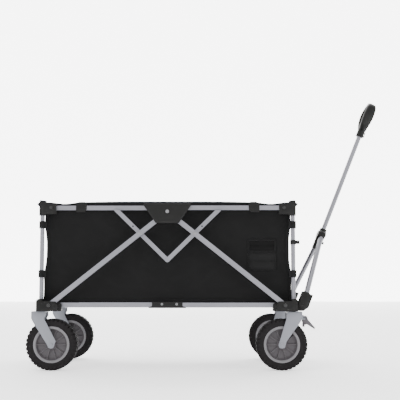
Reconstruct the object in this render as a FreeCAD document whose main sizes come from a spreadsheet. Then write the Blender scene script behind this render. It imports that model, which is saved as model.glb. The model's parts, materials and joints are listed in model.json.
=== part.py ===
import FreeCAD, Part
import os
import re
import Sketcher

# Folding pull wagon. Millimetres, +X towards the handle, +Z up, ground at z = 0.
# Places along X are counted from the middle of the wagon, and mid_x moves them
# so that the origin lies under the centre of the whole object's box.

sizes = {
    "mid_x": -156.4,
    # wheels
    "wheel_radius": 95, "tyre_half": 25, "rim_radius": 67, "rim_half": 20, "hub_radius": 17,
    "axle_radius": 5, "rear_axle_x": -428, "front_axle_x": 425, "wheel_y": 230,
    "rib_count": 8, "tread_depth": 4,
    # end frames
    "post_x": 472, "post_y": 230, "post_radius": 8.2, "wall": 1.5,
    "rail_top": 613, "rim_top": 624, "bracket_foot": 218,
    "slot_inner": 221.5, "slot_outer": 238.5, "bracket_inner": 217.5, "bracket_outer": 242.5,
    "pin_radius": 4, "hole_radius": 4.05,
    # fold linkage
    "foot_x": 438, "foot_z": 240, "peak_z": 588, "strut_angle": 38.47, "strut_length": 559.4,
    "strut_width": 18, "strut_inner": 250, "strut_outer": 264,
    "link_pin": 130, "link_length": 142.46, "link_angle": 44.4, "link_width": 16, "link_reach": 130,
    "link_inner": 241, "link_outer": 249,
    # top and bottom rails
    "rail_pivot_x": 439, "rail_z": 604.5, "knee_x": 326, "knee_z": 615, "rail_width": 17,
    "floor_rail_z": 241.5,
    # basket
    "panel_x": 461, "panel_floor": 250, "side_y": 211, "cloth": 3, "board_y": 205,
    # handle, drawn upright about its pivot and then tilted
    "handle_x": 504, "handle_z": 243, "tilt": 21.7, "tube_radius": 10, "yoke_start": 39,
    "yoke_top": 276, "apex_y": 20, "collar_low": 229, "collar_high": 307,
    "pole_radius": 9, "pole_top": 729, "button_along": 262, "grip_low": 722, "grip_high": 870,
}

doc = FreeCAD.newDocument("PullWagon")
sheet = doc.addObject("Spreadsheet::Sheet", "Dimensions")
for row, (name, number) in enumerate(sizes.items(), start=1):
    sheet.set(f"A{row}", name)
    sheet.set(f"B{row}", str(number))
    sheet.setAlias(f"B{row}", name)
doc.recompute()

nodes = []


def bound(text):
    """Write an expression's names as cells of the sheet."""
    return re.sub(r"[a-z_]+", lambda hit: "Dimensions." + hit[0] if hit[0] in sizes else hit[0], str(text))


def bind(item, **expressions):
    """Tie properties of an object to the sheet; a double underscore stands for a dot."""
    for key, text in expressions.items():
        item.setExpression(key.replace("__", "."), bound(text))


def place(item, x=0, y=0, z=0, axis=None, angle=0):
    """Put an object at a point counted from the middle of the wagon, turned about an axis."""
    if axis:
        item.Placement = FreeCAD.Placement(FreeCAD.Vector(), FreeCAD.Rotation(FreeCAD.Vector(*axis), 1))
        bind(item, Placement__Rotation__Angle=angle)
    bind(item, Placement__Base__x=f"mid_x + ({x})", Placement__Base__y=y, Placement__Base__z=z)
    return item


def place_on_handle(item, x=0, y=0, along=0):
    """Put an object in the handle's own upright frame, then tilt it with the handle."""
    item.Placement = FreeCAD.Placement(FreeCAD.Vector(), FreeCAD.Rotation(FreeCAD.Vector(0, 1, 0), 1))
    bind(item, Placement__Rotation__Angle="tilt",
         Placement__Base__x=f"mid_x + handle_x + ({x}) * cos(tilt) + ({along}) * sin(tilt)",
         Placement__Base__y=y,
         Placement__Base__z=f"handle_z + ({along}) * cos(tilt) - ({x}) * sin(tilt)")
    return item


def node(item, label):
    """Name a finished sub-part."""
    item.Label = label
    nodes.append(item)
    return item


def block(x, y, z):
    """A box given by its low and high limits along each axis."""
    box = doc.addObject("Part::Box", "Block")
    bind(box, Length=f"({x[1]}) - ({x[0]})", Width=f"({y[1]}) - ({y[0]})", Height=f"({z[1]}) - ({z[0]})")
    return place(box, x[0], y[0], z[0])


def rod_y(radius, x, z, y):
    """A cylinder across the wagon, from the lower y to the higher."""
    rod = doc.addObject("Part::Cylinder", "Rod")
    bind(rod, Radius=radius, Height=f"({y[1]}) - ({y[0]})")
    return place(rod, x, y[0], z, axis=(-1, 0, 0), angle=90)


def rod_z(radius, x, y, z):
    """An upright cylinder."""
    rod = doc.addObject("Part::Cylinder", "Rod")
    bind(rod, Radius=radius, Height=f"({z[1]}) - ({z[0]})")
    return place(rod, x, y, z[0])


def near(inner, outer):
    """Limits along Y of a near-side piece between two distances from the middle plane."""
    return f"0 - ({outer})", f"0 - ({inner})"


def fuse(*items):
    joined = doc.addObject("Part::MultiFuse", "Joined")
    joined.Shapes = list(items)
    joined.Refine = True
    return joined


def cut(base, *tools):
    result = doc.addObject("Part::Cut", "Cut")
    result.Base = base
    result.Tool = tools[0] if len(tools) == 1 else fuse(*tools)
    return result


def group(*items):
    """Separate solids kept together as one sub-part."""
    together = doc.addObject("Part::Compound", "Group")
    together.Links = list(items)
    return together


def across(item):
    """The same piece on the other side of the wagon."""
    twin = doc.addObject("Part::Mirroring", "Across")
    twin.Source = item
    twin.Normal = (0, 1, 0)
    return twin


def to_front(item):
    """The same piece at the front end."""
    twin = doc.addObject("Part::Mirroring", "Front")
    twin.Source = item
    twin.Normal = (1, 0, 0)
    bind(twin, Base__x="mid_x")
    return twin


def both_sides(item):
    return group(item, across(item))


def end_pair(item, name):
    """A piece on both sides at the rear, and its mirror image at the front."""
    rear = node(both_sides(item), "rear_" + name)
    return rear, node(to_front(rear), "front_" + name)


def new_sketch(body, role, corners):
    """A closed outline on one of the body's origin planes, each corner tied to the sheet."""
    sketch = body.newObject("Sketcher::SketchObject", "Outline")
    plane = [item for item in body.Origin.OriginFeatures if item.Role == role][0]
    sketch.AttachmentSupport = [(plane, "")]
    sketch.MapMode = "FlatFace"
    count = len(corners)
    rough = [FreeCAD.Rotation(FreeCAD.Vector(0, 0, 1), 360 * index / count).multVec(FreeCAD.Vector(50, 0, 0))
             for index in range(count)]
    for index in range(count):
        sketch.addGeometry(Part.LineSegment(rough[index], rough[(index + 1) % count]))
    for index in range(count):
        sketch.addConstraint(Sketcher.Constraint("Coincident", index, 2, (index + 1) % count, 1))
    for index, (across_text, up_text) in enumerate(corners):
        for kind, start, text in (("DistanceX", rough[index].x, across_text),
                                  ("DistanceY", rough[index].y, up_text)):
            tie = sketch.addConstraint(Sketcher.Constraint(kind, -1, 1, index, 1, start))
            sketch.setExpression(f"Constraints[{tie}]", bound(text))
    return sketch


def round_edges(body, feature, radius, direction):
    """Round every straight edge of a pad that runs along a direction."""
    doc.recompute()
    names = []
    for number, edge in enumerate(feature.Shape.Edges, start=1):
        if edge.Curve.TypeId == "Part::GeomLine" and abs(edge.Curve.Direction.dot(direction)) > 0.99:
            names.append(f"Edge{number}")
    fillet = body.newObject("PartDesign::Fillet", "Rounding")
    fillet.Base = (feature, names)
    bind(fillet, Radius=radius)
    return fillet


def plate(corners, inner, outer, rounding=None):
    """A near-side piece with an outline in the XZ plane, between two distances from the middle."""
    body = doc.addObject("PartDesign::Body", "Plate")
    sketch = new_sketch(body, "XZ_Plane", corners)
    pad = body.newObject("PartDesign::Pad", "Pad")
    pad.Profile = sketch
    bind(pad, Length=f"({outer}) - ({inner})")
    place(body, 0, f"0 - ({inner})", 0)
    if rounding:
        round_edges(body, pad, rounding, FreeCAD.Vector(0, 1, 0))
    return body


def turned(corners):
    """A body of revolution about Y, its outline given as radius and distance along the axis."""
    body = doc.addObject("PartDesign::Body", "Turned")
    sketch = new_sketch(body, "XY_Plane", corners)
    turn = body.newObject("PartDesign::Revolution", "Turn")
    turn.Profile = sketch
    turn.ReferenceAxis = (sketch, ["V_Axis"])
    turn.Angle = 360
    return body


def bar(x, z, angle, start, end, width, inner, outer):
    """A near-side flat bar whose centre line leaves a point at an angle, from start to end along it."""
    box = doc.addObject("Part::Box", "Bar")
    bind(box, Length=f"({end}) - ({start})", Width=f"({outer}) - ({inner})", Height=width)
    return place(box, f"({x}) + ({start}) * cos({angle}) + ({width}) / 2 * sin({angle})", f"0 - ({outer})",
                 f"({z}) + ({start}) * sin({angle}) - ({width}) / 2 * cos({angle})",
                 axis=(0, -1, 0), angle=angle)


# ---------------------------------------------------------------- wheels

def make_wheel(end, axle_x):
    tyre = turned([("rim_radius", "0 - tyre_half + 4"), ("wheel_radius - 20", "0 - tyre_half"),
                   ("wheel_radius - 8", "0 - tyre_half"), ("wheel_radius", "0 - tyre_half + 9"),
                   ("wheel_radius", "-2"), ("wheel_radius - tread_depth", "-2"),
                   ("wheel_radius - tread_depth", "2"), ("wheel_radius", "2"),
                   ("wheel_radius", "tyre_half - 9"), ("wheel_radius - 8", "tyre_half"),
                   ("wheel_radius - 20", "tyre_half"), ("rim_radius", "tyre_half - 4")])
    place(tyre, axle_x, "0 - wheel_y", "wheel_radius")
    rim = turned([("axle_radius + 0.2", "0 - tyre_half"), ("hub_radius", "0 - tyre_half"),
                  ("hub_radius + 2", "-6"), ("rim_radius - 12", "-6"), ("rim_radius - 8", "0 - rim_half"),
                  ("rim_radius", "0 - rim_half"), ("rim_radius", "rim_half"), ("rim_radius - 8", "rim_half"),
                  ("rim_radius - 12", "6"), ("hub_radius + 2", "6"), ("hub_radius", "tyre_half"),
                  ("axle_radius + 0.2", "tyre_half")])
    rib = rim.newObject("PartDesign::Pad", "Rib")
    rib.Profile = new_sketch(rim, "XZ_Plane", [("hub_radius - 3", "-2.5"), ("rim_radius - 5", "-2.5"),
                                               ("rim_radius - 5", "2.5"), ("hub_radius - 3", "2.5")])
    rib.SideType = "Symmetric"
    bind(rib, Length="rim_half + 14")
    spokes = rim.newObject("PartDesign::PolarPattern", "Ribs")
    spokes.Originals = [rib]
    axle_line = [item for item in rim.Origin.OriginFeatures if item.Role == "Y_Axis"][0]
    spokes.Axis = (axle_line, [""])
    spokes.Angle = 360
    bind(spokes, Occurrences="rib_count")
    rim.Tip = spokes
    place(rim, axle_x, "0 - wheel_y", "wheel_radius")
    for side in ("right", "left"):
        node(tyre if side == "right" else across(tyre), f"{end}_{side}_tyre")
        node(rim if side == "right" else across(rim), f"{end}_{side}_rim")


def make_fork(axle_x, top_low, top_high, head):
    """A pressed channel: two cheeks beside the wheel and a plate above it."""
    channel = plate([(f"({axle_x}) - 13", "wheel_radius - 6"), (f"({axle_x}) + 12", "wheel_radius - 8"),
                     (f"({axle_x}) + 14", "wheel_radius + 8"), (top_high, "198"), (top_high, head),
                     (top_low, head), (top_low, "188")], "wheel_y - 31", "wheel_y + 31", "5")
    well = block(("0 - 600", "600"), ("0 - wheel_y - 28", "0 - wheel_y + 28"), ("60", f"{head} - 5"))
    hole = rod_y("axle_radius", axle_x, "wheel_radius", ("0 - wheel_y - 40", "0 - wheel_y + 40"))
    return channel, well, hole


def make_axle(axle_x):
    """A bolt through the fork and hub, with a domed head and a nut."""
    shaft = rod_y("axle_radius", axle_x, "wheel_radius", ("0 - wheel_y - 34", "0 - wheel_y + 36"))
    head = rod_y("axle_radius + 1.5", axle_x, "wheel_radius", ("0 - wheel_y - 35", "0 - wheel_y - 31"))
    nut = rod_y("axle_radius + 3", axle_x, "wheel_radius", ("0 - wheel_y + 31", "0 - wheel_y + 35"))
    return fuse(shaft, head, nut)


make_wheel("rear", "rear_axle_x")
make_wheel("front", "front_axle_x")

rear_channel, rear_well, rear_hole = make_fork("rear_axle_x", "-503", "-449", "bracket_foot")
node(both_sides(cut(rear_channel, rear_well, rear_hole)), "rear_forks")
node(both_sides(make_axle("rear_axle_x")), "rear_axles")

front_channel, front_well, front_hole = make_fork("front_axle_x", "443", "501", "216")
front_eye = rod_z("6.05", "post_x", "0 - wheel_y", ("200", "220"))
front_web = block(("497", "503"), ("0 - wheel_y - 31", "0 - wheel_y + 31"), ("196", "216"))
lugs = [block(("503", "512"), (f"0 - wheel_y + ({low})", f"0 - wheel_y + ({high})"), ("187", "202"))
        for low, high in (("-22", "-18.3"), ("18.3", "22"))]
lug_hole = rod_y("3.05", "508", "194", ("0 - wheel_y - 30", "0 - wheel_y + 30"))
front_fork = cut(fuse(cut(front_channel, front_well), front_web, *lugs), front_hole, front_eye, lug_hole)
node(front_fork, "front_right_fork")
node(across(front_fork), "front_left_fork")
front_axle = make_axle("front_axle_x")
node(front_axle, "front_right_axle")
node(across(front_axle), "front_left_axle")


def make_brake_pedal():
    """A foot lever between the lugs of each front fork, with its pin and the shoe that meets the tyre."""
    lever = plate([("503.5", "180"), ("511", "168"), ("519", "170"), ("547", "152"), ("549", "157"),
                   ("524", "186"), ("518", "200"), ("506", "200")], "wheel_y - 18", "wheel_y + 18", "1.5")
    shoe = block(("504.5", "511"), ("0 - wheel_y - 9", "0 - wheel_y + 9"), ("160", "176"))
    pin = rod_y("3", "508", "194", ("0 - wheel_y - 22", "0 - wheel_y + 22"))
    return fuse(lever, shoe, pin)


brake_pedal = make_brake_pedal()
node(brake_pedal, "front_right_pedal")
node(across(brake_pedal), "front_left_pedal")


# ---------------------------------------------------------------- end frames

def make_posts():
    foot = rod_z("post_radius", "0 - post_x", "0 - post_y", ("foot_z - 2", "606"))
    bore = rod_z("post_radius - wall", "0 - post_x", "0 - post_y", ("foot_z - 2", "606"))
    return cut(foot, bore)


def make_upper_bracket():
    """Corner moulding: a socket for the post and a slot in which the top rail swings down."""
    shell = plate([("-482.5", "575"), ("-459", "575"), ("-455", "580"), ("-420", "582"),
                   ("-420", "621"), ("-457", "rim_top"), ("-459", "631"), ("-480", "633"),
                   ("-483", "rim_top"), ("-491", "618"), ("-482.5", "608")],
                  "bracket_inner", "bracket_outer", "1.2")
    slot = block(("-454", "-400"), ("0 - slot_outer", "0 - slot_inner"), ("570", "616"))
    socket = rod_z("post_radius", "0 - post_x", "0 - post_y", ("560", "606"))
    pin = rod_y("pin_radius", "0 - rail_pivot_x", "rail_z", ("0 - bracket_outer", "0 - bracket_inner"))
    return cut(shell, slot, socket, pin)


def make_lower_bracket():
    """Corner casting: post socket, slots for the floor rail and the strut, and a foot over the fork."""
    inner = plate([("-484", "bracket_foot"), ("-394", "bracket_foot"), ("-394", "243"), ("-402", "250"),
                   ("-463", "253"), ("-463", "263"), ("-484", "263")],
                  "bracket_inner", "strut_inner - 2", "2")
    outer = plate([("-484", "bracket_foot"), ("-406", "bracket_foot"), ("-404", "236"), ("-412", "254"),
                   ("-463", "256"), ("-463", "260"), ("-484", "260")],
                  "strut_inner - 4", "strut_outer + 5.5", "2")
    rail_slot = block(("-453", "-380"), ("0 - slot_outer", "0 - slot_inner"), ("226", "300"))
    strut_slot = block(("-453", "-380"), ("0 - strut_outer - 1.5", "0 - strut_inner + 1"), ("226", "300"))
    socket = rod_z("post_radius", "0 - post_x", "0 - post_y", ("foot_z - 2", "300"))
    pin = rod_y("pin_radius", "0 - foot_x", "foot_z", ("0 - strut_outer - 10", "0 - bracket_inner + 5"))
    return cut(fuse(inner, outer), rail_slot, strut_slot, socket, pin)


def make_cross_tubes():
    tubes = []
    for height, gap in (("rail_z", "bracket_inner"), ("floor_rail_z", "bracket_inner")):
        outer = rod_y("rail_width / 2", "0 - post_x", height, (f"0 - {gap}", gap))
        bore = rod_y("rail_width / 2 - wall", "0 - post_x", height, (f"0 - {gap}", gap))
        tubes.append(cut(outer, bore))
    return group(*tubes)


def make_fasteners():
    """Pivot bolt of strut and floor rail, and the pin of the top rail."""
    bolt = rod_y("pin_radius", "0 - foot_x", "foot_z", ("0 - strut_outer - 5.5", "0 - bracket_inner"))
    head = rod_y("7", "0 - foot_x", "foot_z", ("0 - strut_outer - 8.5", "0 - strut_outer - 5.5"))
    pin = rod_y("pin_radius", "0 - rail_pivot_x", "rail_z", ("0 - bracket_outer", "0 - bracket_inner"))
    cap = rod_y("6", "0 - rail_pivot_x", "rail_z", ("0 - bracket_outer - 2", "0 - bracket_outer"))
    return [fuse(bolt, head), fuse(pin, cap)]


def make_kingpin():
    """Swivel pin under a front corner, with the washer that the fork hangs on."""
    pin = rod_z("6", "post_x", "0 - wheel_y", ("204", "bracket_foot"))
    head = rod_z("10", "post_x", "0 - wheel_y", ("204", "210.7"))
    collar = rod_z("11", "post_x", "0 - wheel_y", ("216.3", "bracket_foot"))
    return fuse(pin, head, collar)


def make_strap(low, high):
    """A sewn loop that ties the basket's corner to a post."""
    ring = rod_z("post_radius + 2.5", "0 - post_x", "0 - post_y", (low, high))
    tail = block(("0 - post_x", "0 - panel_x + 3"), ("0 - post_y", "0 - side_y - cloth - 0.3"), (low, high))
    bore = rod_z("post_radius + 0.3", "0 - post_x", "0 - post_y", (low, high))
    return cut(fuse(ring, tail), bore)


end_pair(make_posts(), "posts")
end_pair(make_upper_bracket(), "upper_brackets")
end_pair(make_lower_bracket(), "lower_brackets")
rear_tubes = node(make_cross_tubes(), "rear_cross_tubes")
node(to_front(rear_tubes), "front_cross_tubes")

rear_fasteners = make_fasteners()
rear_bolts = [both_sides(item) for item in rear_fasteners]
node(group(*rear_bolts), "rear_fasteners")
node(group(*[to_front(item) for item in rear_bolts], both_sides(make_kingpin())), "front_fasteners")

rear_loops = both_sides(group(make_strap("527", "554"), make_strap("343", "370")))
node(rear_loops, "rear_straps")
node(to_front(rear_loops), "front_straps")


# ---------------------------------------------------------------- basket

rear_panel = block(("0 - panel_x", "0 - panel_x + cloth"), ("0 - side_y + 2", "side_y - 2"), ("panel_floor", "rim_top"))
node(rear_panel, "rear_panel")
node(to_front(rear_panel), "front_panel")
right_panel = block(("0 - panel_x", "panel_x"), ("0 - side_y - cloth", "0 - side_y"), ("panel_floor", "rim_top"))
node(right_panel, "right_side_panel")
node(across(right_panel), "left_side_panel")
node(block(("305", "406"), ("0 - side_y - cloth - 3.5", "0 - side_y - cloth - 0.3"), ("373", "484")), "side_pocket")


def make_floor_board():
    return block(("0 - foot_x + 45", "-78"), ("0 - board_y", "board_y"), ("panel_floor + 3", "panel_floor + 9"))


rear_board = node(make_floor_board(), "rear_floor_board")
node(to_front(rear_board), "front_floor_board")
node(block(("0 - panel_x + 5", "panel_x - 5"), ("0 - side_y + 2", "side_y - 2"),
           ("panel_floor - 1", "panel_floor + 1.5")), "floor_cloth")


# ---------------------------------------------------------------- fold linkage

def hollow_bar(x, z, angle, start, end, width, inner, outer):
    skin = bar(x, z, angle, start, end, width, inner, outer)
    bore = bar(x, z, angle, f"({start}) + 12", f"({end}) - 12", f"({width}) - 3", f"({inner}) + wall", f"({outer}) - wall")
    return cut(skin, bore)


# the pin that joins strut and link, and the height where the two links lap
pin_x = "link_pin * cos(strut_angle)"
pin_z = "(peak_z - link_pin * sin(strut_angle))"
toe_z = f"({pin_z} - link_length * sin(link_angle))"


def make_strut(tongue_inner, tongue_outer):
    """A diagonal tube with a rounded foot and a flattened tongue that laps its twin at the peak."""
    tube = hollow_bar("0 - foot_x", "foot_z", "strut_angle", "0", "strut_length - 48", "strut_width",
                      "strut_inner", "strut_outer")
    foot = rod_y("strut_width / 2", "0 - foot_x", "foot_z", near("strut_inner", "strut_outer"))
    tongue = bar("0 - foot_x", "foot_z", "strut_angle", "strut_length - 50", "strut_length", "strut_width",
                 tongue_inner, tongue_outer)
    eye = rod_y("strut_width / 2", "0", "peak_z", near(tongue_inner, tongue_outer))
    foot_hole = rod_y("hole_radius", "0 - foot_x", "foot_z", ("-300", "-200"))
    peak_hole = rod_y("hole_radius", "0", "peak_z", ("-300", "-200"))
    pin_hole = rod_y("pin_radius", f"0 - {pin_x}", pin_z, ("-300", "-200"))
    return cut(fuse(tube, foot, tongue, eye), foot_hole, peak_hole, pin_hole)


def make_link(toe_inner, toe_outer):
    """A short bar pinned to the strut, from its thinned toe at the middle to just under the top rail."""
    upper = bar(f"0 - {pin_x}", pin_z, "180 - link_angle", "0 - link_length + 44", "link_reach", "link_width",
                "link_inner", "link_outer")
    above = block(("0 - 260", "0 - 120"), ("-300", "-200"), ("594.5", "650"))
    lower = bar(f"0 - {pin_x}", pin_z, "180 - link_angle", "0 - link_length", "0 - link_length + 46", "link_width",
                toe_inner, toe_outer)
    toe = rod_y("link_width / 2", "0", toe_z, near(toe_inner, toe_outer))
    hole = rod_y("hole_radius", f"0 - {pin_x}", pin_z, ("-300", "-200"))
    sink = rod_y("6.05", f"0 - {pin_x}", pin_z, ("0 - link_inner - 1.8", "-200"))
    spare = rod_y("3", f"0 - {pin_x} - 39 * cos(link_angle)", f"{pin_z} + 39 * sin(link_angle)", ("-300", "-200"))
    return cut(fuse(upper, lower, toe), hole, sink, spare, above)


def make_strut_rivet():
    """Rivet of strut and link, its inner head sunk in the link."""
    shaft = rod_y("pin_radius", f"0 - {pin_x}", pin_z, ("0 - strut_outer", "0 - link_inner"))
    outer = rod_y("6", f"0 - {pin_x}", pin_z, ("0 - strut_outer - 1.6", "0 - strut_outer"))
    inner = rod_y("6", f"0 - {pin_x}", pin_z, ("0 - link_inner - 1.8", "0 - link_inner"))
    return fuse(shaft, outer, inner)


def make_centre_bolt():
    """Bolt through the struts' peak and the cover plate, with its nut."""
    shaft = rod_y("pin_radius", "0", "peak_z", ("0 - strut_outer - 8", "0 - strut_inner + 3"))
    head = rod_y("6.5", "0", "peak_z", ("0 - strut_outer - 12", "0 - strut_outer - 7.3"))
    nut = rod_y("6.5", "0", "peak_z", ("0 - strut_inner + 0.5", "0 - strut_inner + 4"))
    return fuse(shaft, head, nut)


node(both_sides(make_strut("strut_inner", "strut_inner + 6.5")), "rear_struts")
node(to_front(both_sides(make_strut("strut_outer - 6.5", "strut_outer"))), "front_struts")
node(both_sides(make_link("link_inner", "link_inner + 3.8")), "rear_links")
node(to_front(both_sides(make_link("link_outer - 3.8", "link_outer"))), "front_links")
rear_rivets = both_sides(make_strut_rivet())
node(group(rear_rivets, both_sides(make_centre_bolt())), "rear_strut_fasteners")
node(to_front(rear_rivets), "front_strut_rivets")

cover = plate([("-43", "545"), ("43", "545"), ("88.5", "611"), ("86", "620"), ("-86", "620"), ("-88.5", "611")],
              "strut_outer + 2", "strut_outer + 7", "3")
cover_hole = rod_y("hole_radius", "0", "peak_z", ("-300", "-200"))
node(both_sides(cut(cover, cover_hole)), "cover_plates")


# ---------------------------------------------------------------- rails

rear_lane = ("222", "229.5")
front_lane = ("230.5", "238")


def make_outer_rail(lane):
    tube = hollow_bar("0 - rail_pivot_x", "rail_z", "0", "0", "rail_pivot_x - knee_x - 7", "rail_width", *lane)
    eye = rod_y("rail_width / 2", "0 - rail_pivot_x", "rail_z", near(*lane))
    hole = rod_y("hole_radius", "0 - rail_pivot_x", "rail_z", ("-300", "-200"))
    return cut(fuse(tube, eye), hole)


def make_inner_rail(lane):
    tube = hollow_bar("0 - knee_x + 1", "rail_z", "0", "0", "knee_x - 7", "rail_width", *lane)
    eye = rod_y("6", "0 - knee_x + 1", "knee_z + 2", near(*lane))
    ear = block(("0 - knee_x + 1", "0 - knee_x + 12"), near(*lane), ("knee_z - 4", "knee_z + 8"))
    return fuse(tube, eye, ear)


def make_knee_clip(lane):
    """A moulded hinge clip on the end of the outer rail, its cheeks either side of the knee."""
    cheeks = []
    for inner, outer in ((f"{lane[0]} - 2.8", f"{lane[0]} - 0.5"), (f"{lane[1]} + 0.5", f"{lane[1]} + 2.8")):
        side = plate([("-346", "589"), ("-316", "589"), ("-306", "597"), ("-305", "619"), ("-312", "627"),
                      ("-334", "627"), ("-346", "619")], inner, outer, "2")
        cheeks.append(side)
    saddle = block(("-346", "-338"), near(f"{lane[0]} - 2.8", f"{lane[1]} + 2.8"), ("rail_top", "619"))
    return fuse(*cheeks, saddle)


for end, lane in (("rear", rear_lane), ("front", front_lane)):
    outer = both_sides(make_outer_rail(lane))
    inner = both_sides(make_inner_rail(lane))
    clip = both_sides(make_knee_clip(lane))
    for item, name in ((outer, "outer_rails"), (inner, "inner_rails"), (clip, "knee_clips")):
        node(item if end == "rear" else to_front(item), f"{end}_{name}")


def make_floor_rail(lane):
    tube = hollow_bar("0 - foot_x", "foot_z", "0", "0", "foot_x - 6", "strut_width", *lane)
    eye = rod_y("strut_width / 2", "0 - foot_x", "foot_z", near(*lane))
    hole = rod_y("hole_radius", "0 - foot_x", "foot_z", ("-300", "-200"))
    return cut(fuse(tube, eye), hole)


node(both_sides(make_floor_rail(rear_lane)), "rear_floor_rails")
node(to_front(both_sides(make_floor_rail(front_lane))), "front_floor_rails")


def make_hinge_plate():
    """Cheek of the floor's middle hinge, with the heads of its rivets."""
    cheek = plate([("-70", "229"), ("70", "229"), ("70", "232"), ("57", "236"), ("57", "252"), ("-57", "252"),
                   ("-57", "236"), ("-70", "232")],
                  "238.3", "240.3", "0.5")
    rivets = [rod_y("4", spot, "244", ("-240.8", "-240")) for spot in ("-20", "35")]
    return fuse(cheek, *rivets)


node(both_sides(make_hinge_plate()), "floor_hinge_plates")


# ---------------------------------------------------------------- handle

def make_socket():
    """Forked lug ahead of a front corner that carries the handle's pivot."""
    lug = plate([("484", "219"), ("507", "219"), ("517", "225"), ("522", "236"), ("521", "249"), ("513", "258"),
                 ("498", "258"), ("484", "255")], "wheel_y - 17", "wheel_y + 17", "1.5")
    gap = block(("491", "540"), ("0 - wheel_y - 12", "0 - wheel_y + 12"), ("210", "270"))
    pin = rod_y("pin_radius", "handle_x", "handle_z", ("0 - wheel_y - 20", "0 - wheel_y + 20"))
    solid_pin = rod_y("pin_radius", "handle_x", "handle_z", ("0 - wheel_y - 23", "0 - wheel_y + 23"))
    return fuse(cut(lug, gap, pin), solid_pin)


def make_catch():
    """Peg on the near front post that holds the folded handle."""
    ring = rod_z("post_radius + 2.5", "post_x", "0 - post_y", ("467", "483"))
    peg = block(("post_x + 8", "496"), ("0 - post_y - 6.5", "0 - post_y + 6.5"), ("468.5", "481.5"))
    bore = rod_z("post_radius", "post_x", "0 - post_y", ("467", "483"))
    return cut(fuse(ring, peg), bore)


node(both_sides(make_socket()), "handle_sockets")
node(make_catch(), "handle_catch")


def handle_rod(radius, x, along, length):
    rod = doc.addObject("Part::Cylinder", "HandleRod")
    bind(rod, Radius=radius, Height=length)
    return place_on_handle(rod, x, "0", along)


def handle_block(x, y, along):
    box = doc.addObject("Part::Box", "HandleBlock")
    bind(box, Length=f"({x[1]}) - ({x[0]})", Width=f"({y[1]}) - ({y[0]})", Height=f"({along[1]}) - ({along[0]})")
    return place_on_handle(box, x[0], y[0], along[0])


def make_yoke_leg(radius):
    """A near-side tube bent at both ends, from its sleeve to the apex, in the handle's own plane."""
    def tube(side, low, length, angle="0"):
        piece = doc.addObject("Part::Cylinder", "Tube")
        piece.Placement = FreeCAD.Placement(FreeCAD.Vector(), FreeCAD.Rotation(FreeCAD.Vector(-1, 0, 0), 1))
        bind(piece, Radius=radius, Height=length, Placement__Rotation__Angle=angle,
             Placement__Base__y=f"0 - ({side})", Placement__Base__z=low)
        return piece

    def bend(side, height):
        ball = doc.addObject("Part::Sphere", "Bend")
        bind(ball, Radius=f"{radius} + 0.1", Placement__Base__y=f"0 - ({side})", Placement__Base__z=height)
        return ball

    reach = "wheel_y - apex_y"
    rise = "(yoke_top - yoke_start)"
    leg = fuse(bend("wheel_y", "yoke_start"),
               tube("wheel_y", "yoke_start", f"sqrt(({reach})^2 + {rise}^2)", f"atan(({reach}) / {rise})"),
               bend("apex_y", "yoke_top"), tube("apex_y", "yoke_top", "25"))
    return place_on_handle(leg)


def make_sleeve():
    """Moulding that holds a yoke tube's foot, with cheeks outside its lug and a tongue and eye between the prongs."""
    head = handle_block(("-17", "24"), ("0 - wheel_y - 21.5", "0 - wheel_y + 21.5"), ("20", "46"))
    skirt = handle_block(("-17", "24"), ("0 - wheel_y - 21.5", "0 - wheel_y + 21.5"), ("-4", "20"))
    chin = handle_block(("-11", "17"), ("0 - wheel_y - 21.5", "0 - wheel_y + 21.5"), ("-14", "-4"))
    lug_room = handle_block(("-40", "40"), ("0 - wheel_y - 17.5", "0 - wheel_y + 17.5"), ("-30", "20"))
    tongue = handle_block(("-11", "11"), ("0 - wheel_y - 11", "0 - wheel_y + 11"), ("0", "24"))
    eye = rod_y("12.5", "handle_x", "handle_z", ("0 - wheel_y - 10", "0 - wheel_y + 10"))
    hole = rod_y("hole_radius", "handle_x", "handle_z", ("0 - wheel_y - 30", "0 - wheel_y + 30"))
    return cut(fuse(cut(fuse(head, skirt, chin), lug_room), tongue, eye), hole, make_yoke_leg("tube_radius"))


node(both_sides(cut(make_yoke_leg("tube_radius"), make_yoke_leg("tube_radius - wall"))), "handle_yoke")
node(both_sides(make_sleeve()), "handle_sleeves")


def make_collar():
    """Apex moulding that grips both yoke tubes and guides the pole between them."""
    cap = handle_block(("-17", "14"), ("-33", "33"), ("collar_high - 24", "collar_high"))
    body = handle_block(("-17", "14"), ("-15", "15"), ("collar_low", "collar_high - 24"))
    neck = handle_rod("14", "0", "collar_high", "10")
    bore = handle_rod("pole_radius + 0.3", "0", "collar_low - 10", "120")
    leg = make_yoke_leg("tube_radius")
    return cut(fuse(cap, body, neck), bore, leg, across(leg), cross_rod("5.3", "9.2", "button_along", "20"))


def cross_rod(radius, x, along, length):
    """A cylinder that points forward out of the handle, square to its length."""
    rod = doc.addObject("Part::Cylinder", "CrossRod")
    bind(rod, Radius=radius, Height=length)
    place_on_handle(rod, x, "0", along)
    bind(rod, Placement__Rotation__Angle="tilt + 90")
    return rod


def make_pole():
    """Telescopic tube from inside the collar up into the grip."""
    skin = handle_rod("pole_radius", "0", "collar_low + 2", "pole_top - collar_low")
    bore = handle_rod("pole_radius - wall", "0", "collar_low + 2", "pole_top - collar_low")
    return cut(skin, bore)


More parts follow.
